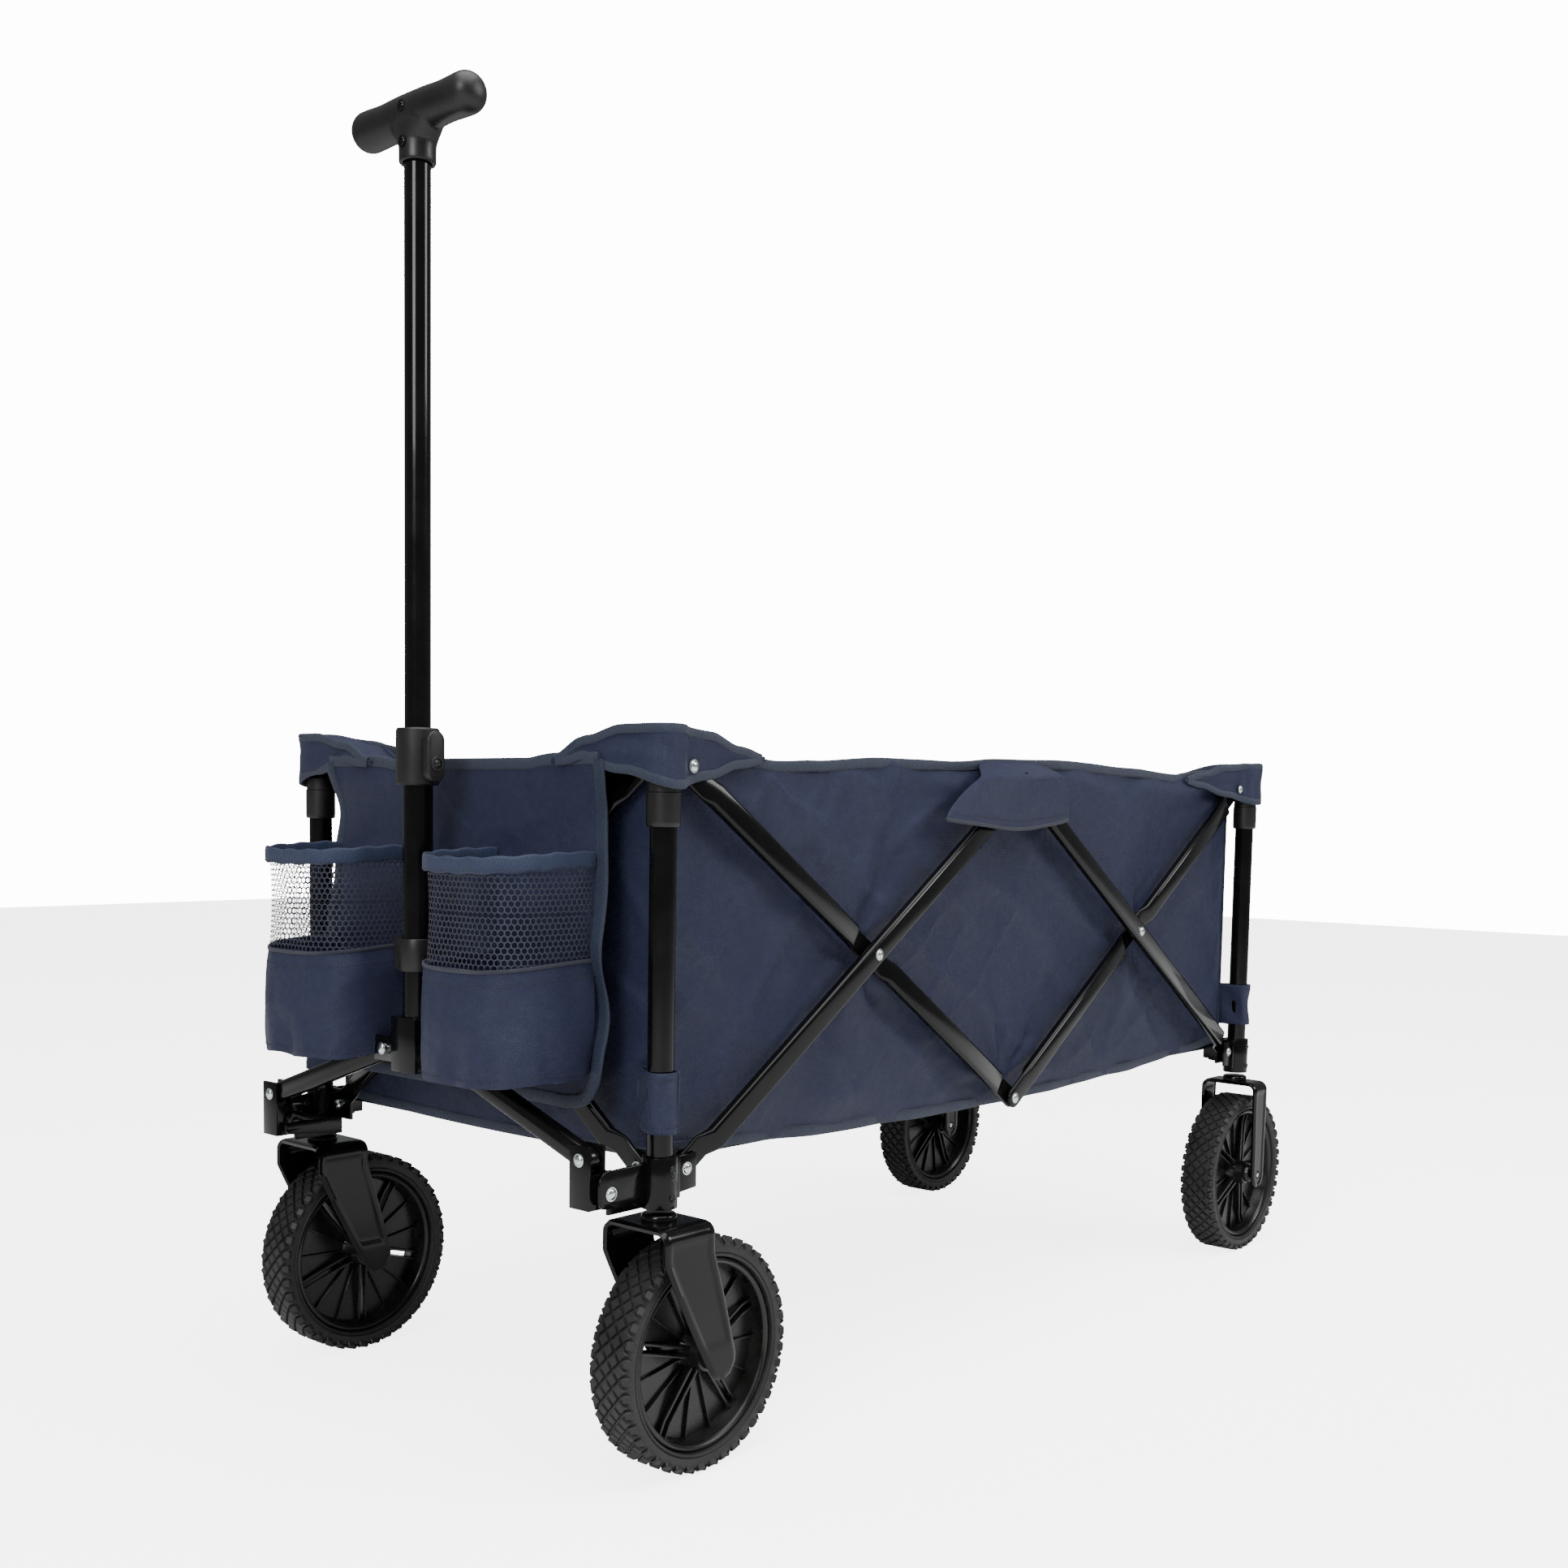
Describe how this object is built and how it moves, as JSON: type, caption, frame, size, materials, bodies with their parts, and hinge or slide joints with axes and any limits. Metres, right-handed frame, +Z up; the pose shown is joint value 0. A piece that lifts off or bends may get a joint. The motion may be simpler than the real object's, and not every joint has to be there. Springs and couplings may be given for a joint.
{
  "type": "folding utility wagon",
  "caption": "Four-wheeled folding utility wagon with scissor sides, telescoping corner posts, fabric tub, bottle pockets and a telescoping T-handle.",
  "frame": {"origin": "centre of the bounding box, on the ground plane that the wheels stand on", "axes": "+X towards the rear, away from the handle; +Y to the left; +Z up"},
  "size_m": [1.211, 0.521, 1.0965],
  "materials": {
    "frame_paint": "gloss",
    "plastic": "matte",
    "rubber": "matte",
    "fabric": "woven",
    "mat_fabric": "woven"
  },
  "bodies": {
    "lower_corner_front_right": {"lower_post_front_right": "frame_paint", "post_sleeve_front_right": "plastic", "corner_bracket_front_right": "frame_paint"},
    "upper_corner_front_right": {"upper_post_front_right": "frame_paint", "tub_wall_right": "fabric", "tub_wall_front": "fabric", "front_apron": "fabric", "pocket_right": "fabric", "pocket_left": "fabric"},
    "lower_corner_front_left": {"lower_post_front_left": "frame_paint", "post_sleeve_front_left": "plastic", "corner_bracket_front_left": "frame_paint"},
    "upper_corner_front_left": {"upper_post_front_left": "frame_paint", "tub_wall_left": "fabric"},
    "lower_corner_rear_right": {"lower_post_rear_right": "frame_paint", "post_sleeve_rear_right": "plastic", "corner_bracket_rear_right": "frame_paint", "fork_rear_right": "frame_paint"},
    "upper_corner_rear_right": {"upper_post_rear_right": "frame_paint", "tub_wall_rear": "fabric"},
    "lower_corner_rear_left": {"lower_post_rear_left": "frame_paint", "post_sleeve_rear_left": "plastic", "corner_bracket_rear_left": "frame_paint", "fork_rear_left": "frame_paint"},
    "upper_corner_rear_left": {"upper_post_rear_left": "frame_paint"},
    "side_bar_rising_right_front": {"side_bar_rising_right_front": "frame_paint"},
    "side_bar_falling_right_front": {"side_bar_falling_right_front": "frame_paint"},
    "side_bar_rising_right_rear": {"side_bar_rising_right_rear": "frame_paint"},
    "side_bar_falling_right_rear": {"side_bar_falling_right_rear": "frame_paint"},
    "side_bar_rising_left_front": {"side_bar_rising_left_front": "frame_paint"},
    "side_bar_falling_left_front": {"side_bar_falling_left_front": "frame_paint"},
    "side_bar_rising_left_rear": {"side_bar_rising_left_rear": "frame_paint"},
    "side_bar_falling_left_rear": {"side_bar_falling_left_rear": "frame_paint"},
    "end_bar_front_right_to_left": {"end_bar_front_right_to_left": "frame_paint"},
    "end_bar_front_left_to_right": {"end_bar_front_left_to_right": "frame_paint"},
    "end_bar_rear_right_to_left": {"end_bar_rear_right_to_left": "frame_paint"},
    "end_bar_rear_left_to_right": {"end_bar_rear_left_to_right": "frame_paint"},
    "mat_half_right": {"mat_half_right": "mat_fabric"},
    "mat_half_left": {"mat_half_left": "mat_fabric"},
    "caster_front_right": {"fork_front_right": "frame_paint"},
    "wheel_front_right": {"tyre_front_right": "rubber", "rim_front_right": "plastic"},
    "wheel_rear_right": {"tyre_rear_right": "rubber", "rim_rear_right": "plastic"},
    "caster_front_left": {"fork_front_left": "frame_paint"},
    "wheel_front_left": {"tyre_front_left": "rubber", "rim_front_left": "plastic"},
    "wheel_rear_left": {"tyre_rear_left": "rubber", "rim_rear_left": "plastic"},
    "yoke_clevis_right": {"yoke_clevis_right": "frame_paint"},
    "yoke_bar_right": {"yoke_bar_right": "frame_paint"},
    "yoke_clevis_left": {"yoke_clevis_left": "frame_paint"},
    "yoke_bar_left": {"yoke_bar_left": "frame_paint"},
    "handle_lower": {"yoke_bracket": "frame_paint", "handle_outer_tube": "frame_paint", "handle_collar": "plastic", "handle_rest_clip": "plastic"},
    "handle_upper": {"handle_inner_tube": "frame_paint", "handle_grip": "plastic"}
  },
  "joints": [
    {"name": "fold", "type": "hinge", "parent": "lower_corner_front_right", "child": "side_bar_rising_right_front", "pos_m": [-0.46745, -0.225, 0.245], "axis": [0, -1, 0], "range_deg": [0, 23.82], "deforming": ["tub_wall_right", "tub_wall_left", "tub_wall_front", "tub_wall_rear", "front_apron", "pocket_right", "pocket_left", "mat_half_right", "mat_half_left"]},
    {"name": "fold_cross_right_front", "type": "hinge", "parent": "side_bar_rising_right_front", "child": "side_bar_falling_right_front", "pos_m": [-0.2297, -0.225, 0.402], "axis": [0, -1, 0], "range_deg": [-47.69, 0]},
    {"name": "fold_top_right_front", "type": "hinge", "parent": "side_bar_falling_right_front", "child": "upper_corner_front_right", "pos_m": [-0.46745, -0.225, 0.559], "axis": [0, -1, 0], "range_deg": [0, 23.87]},
    {"name": "fold_middle_right", "type": "hinge", "parent": "side_bar_rising_right_front", "child": "side_bar_rising_right_rear", "pos_m": [0.00805, -0.225, 0.559], "axis": [0, -1, 0], "range_deg": [-47.69, 0]},
    {"name": "fold_cross_right_rear", "type": "hinge", "parent": "side_bar_rising_right_rear", "child": "side_bar_falling_right_rear", "pos_m": [0.2458, -0.225, 0.402], "axis": [0, -1, 0], "range_deg": [0, 47.69]},
    {"name": "fold_foot_right_rear", "type": "hinge", "parent": "side_bar_rising_right_rear", "child": "lower_corner_rear_right", "pos_m": [0.48355, -0.225, 0.245], "axis": [0, -1, 0], "range_deg": [0, 23.87]},
    {"name": "fold_top_right_rear", "type": "hinge", "parent": "side_bar_falling_right_rear", "child": "upper_corner_rear_right", "pos_m": [0.48355, -0.225, 0.559], "axis": [0, -1, 0], "range_deg": [-23.87, 0]},
    {"name": "fold_rise_left_front", "type": "hinge", "parent": "lower_corner_front_left", "child": "side_bar_rising_left_front", "pos_m": [-0.46745, 0.225, 0.245], "axis": [0, -1, 0], "range_deg": [0, 23.87]},
    {"name": "fold_cross_left_front", "type": "hinge", "parent": "side_bar_rising_left_front", "child": "side_bar_falling_left_front", "pos_m": [-0.2297, 0.225, 0.402], "axis": [0, -1, 0], "range_deg": [-47.69, 0]},
    {"name": "fold_top_left_front", "type": "hinge", "parent": "side_bar_falling_left_front", "child": "upper_corner_front_left", "pos_m": [-0.46745, 0.225, 0.559], "axis": [0, -1, 0], "range_deg": [0, 23.87]},
    {"name": "fold_middle_left", "type": "hinge", "parent": "side_bar_rising_left_front", "child": "side_bar_rising_left_rear", "pos_m": [0.00805, 0.225, 0.559], "axis": [0, -1, 0], "range_deg": [-47.69, 0]},
    {"name": "fold_cross_left_rear", "type": "hinge", "parent": "side_bar_rising_left_rear", "child": "side_bar_falling_left_rear", "pos_m": [0.2458, 0.225, 0.402], "axis": [0, -1, 0], "range_deg": [0, 47.69]},
    {"name": "fold_foot_left_rear", "type": "hinge", "parent": "side_bar_rising_left_rear", "child": "lower_corner_rear_left", "pos_m": [0.48355, 0.225, 0.245], "axis": [0, -1, 0], "range_deg": [0, 23.87]},
    {"name": "fold_top_left_rear", "type": "hinge", "parent": "side_bar_falling_left_rear", "child": "upper_corner_rear_left", "pos_m": [0.48355, 0.225, 0.559], "axis": [0, -1, 0], "range_deg": [-23.87, 0]},
    {"name": "fold_end_front", "type": "hinge", "parent": "lower_corner_front_right", "child": "end_bar_front_right_to_left", "pos_m": [-0.49445, -0.2, 0.245], "axis": [1, 0, 0], "range_deg": [0, 32.4]},
    {"name": "fold_end_cross_front", "type": "hinge", "parent": "end_bar_front_right_to_left", "child": "end_bar_front_left_to_right", "pos_m": [-0.49445, 0, 0.402], "axis": [1, 0, 0], "range_deg": [-64.74, 0]},
    {"name": "fold_end_rear", "type": "hinge", "parent": "lower_corner_rear_right", "child": "end_bar_rear_right_to_left", "pos_m": [0.51055, -0.2, 0.245], "axis": [1, 0, 0], "range_deg": [0, 32.4]},
    {"name": "fold_end_cross_rear", "type": "hinge", "parent": "end_bar_rear_right_to_left", "child": "end_bar_rear_left_to_right", "pos_m": [0.51055, 0, 0.402], "axis": [1, 0, 0], "range_deg": [-64.74, 0]},
    {"name": "fold_end_foot_front", "type": "hinge", "parent": "end_bar_front_left_to_right", "child": "lower_corner_front_left", "pos_m": [-0.49445, 0.2, 0.245], "axis": [1, 0, 0], "range_deg": [0, 32.4]},
    {"name": "mat_fold_right", "type": "hinge", "parent": "upper_corner_front_right", "child": "mat_half_right", "pos_m": [0.00805, -0.207, 0.25], "axis": [1, 0, 0], "range_deg": [0, 63.65]},
    {"name": "mat_fold_left", "type": "hinge", "parent": "upper_corner_front_left", "child": "mat_half_left", "pos_m": [0.00805, 0.207, 0.25], "axis": [-1, 0, 0], "range_deg": [0, 63.65]},
    {"name": "caster_swivel_right", "type": "hinge", "parent": "lower_corner_front_right", "child": "caster_front_right", "pos_m": [-0.49445, -0.225, 0.2052], "axis": [0, 0, 1], "continuous": true},
    {"name": "wheel_spin_front_right", "type": "hinge", "parent": "caster_front_right", "child": "wheel_front_right", "pos_m": [-0.45645, -0.225, 0.095], "axis": [0, 1, 0], "continuous": true},
    {"name": "wheel_spin_rear_right", "type": "hinge", "parent": "lower_corner_rear_right", "child": "wheel_rear_right", "pos_m": [0.51055, -0.225, 0.095], "axis": [0, 1, 0], "continuous": true},
    {"name": "caster_swivel_left", "type": "hinge", "parent": "lower_corner_front_left", "child": "caster_front_left", "pos_m": [-0.49445, 0.225, 0.2052], "axis": [0, 0, 1], "continuous": true},
    {"name": "wheel_spin_front_left", "type": "hinge", "parent": "caster_front_left", "child": "wheel_front_left", "pos_m": [-0.45645, 0.225, 0.095], "axis": [0, 1, 0], "continuous": true},
    {"name": "wheel_spin_rear_left", "type": "hinge", "parent": "lower_corner_rear_left", "child": "wheel_rear_left", "pos_m": [0.51055, 0.225, 0.095], "axis": [0, 1, 0], "continuous": true},
    {"name": "handle_tilt", "type": "hinge", "parent": "lower_corner_front_right", "child": "yoke_clevis_right", "pos_m": [-0.54545, -0.207, 0.236], "axis": [0, -1, 0], "range_deg": [0, 90]},
    {"name": "yoke_fold_right", "type": "hinge", "parent": "yoke_clevis_right", "child": "yoke_bar_right", "pos_m": [-0.55445, -0.207, 0.262], "axis": [1, 0, 0], "range_deg": [0, 54.65]},
    {"name": "handle_tilt_left", "type": "hinge", "parent": "lower_corner_front_left", "child": "yoke_clevis_left", "pos_m": [-0.54545, 0.207, 0.236], "axis": [0, -1, 0], "range_deg": [0, 90.1]},
    {"name": "yoke_fold_left", "type": "hinge", "parent": "yoke_clevis_left", "child": "yoke_bar_left", "pos_m": [-0.55445, 0.207, 0.262], "axis": [-1, 0, 0], "range_deg": [0, 54.65]},
    {"name": "yoke_level", "type": "hinge", "parent": "yoke_bar_right", "child": "handle_lower", "pos_m": [-0.55445, -0.038, 0.322], "axis": [1, 0, 0], "range_deg": [-54.65, 0]},
    {"name": "handle_slide", "type": "slide", "parent": "handle_lower", "child": "handle_upper", "axis": [0, 0, 1], "range_m": [-0.19, 0]}
  ],
  "couplings": [
    {"joint": "fold_cross_right_front", "follows": "fold", "ratio": -2},
    {"joint": "fold_top_right_front", "follows": "fold", "ratio": 1},
    {"joint": "fold_middle_right", "follows": "fold", "ratio": -2},
    {"joint": "fold_cross_right_rear", "follows": "fold", "ratio": 2},
    {"joint": "fold_foot_right_rear", "follows": "fold", "ratio": 1},
    {"joint": "fold_top_right_rear", "follows": "fold", "ratio": -1},
    {"joint": "fold_rise_left_front", "follows": "fold", "ratio": 1},
    {"joint": "fold_cross_left_front", "follows": "fold", "ratio": -2},
    {"joint": "fold_top_left_front", "follows": "fold", "ratio": 1},
    {"joint": "fold_middle_left", "follows": "fold", "ratio": -2},
    {"joint": "fold_cross_left_rear", "follows": "fold", "ratio": 2},
    {"joint": "fold_foot_left_rear", "follows": "fold", "ratio": 1},
    {"joint": "fold_top_left_rear", "follows": "fold", "ratio": -1},
    {"joint": "fold_end_front", "follows": "fold", "ratio": 1.3579},
    {"joint": "fold_end_cross_front", "follows": "fold", "ratio": -2.7158},
    {"joint": "fold_end_rear", "follows": "fold", "ratio": 1.3579},
    {"joint": "fold_end_cross_rear", "follows": "fold", "ratio": -2.7158},
    {"joint": "fold_end_foot_front", "follows": "fold", "ratio": 1.3579},
    {"joint": "mat_fold_right", "follows": "fold", "ratio": 2.67},
    {"joint": "mat_fold_left", "follows": "fold", "ratio": 2.67},
    {"joint": "yoke_fold_right", "follows": "fold", "ratio": 2.2922},
    {"joint": "handle_tilt_left", "follows": "handle_tilt", "ratio": 1},
    {"joint": "yoke_fold_left", "follows": "fold", "ratio": 2.2922},
    {"joint": "yoke_level", "follows": "fold", "ratio": -2.2922}
  ]
}
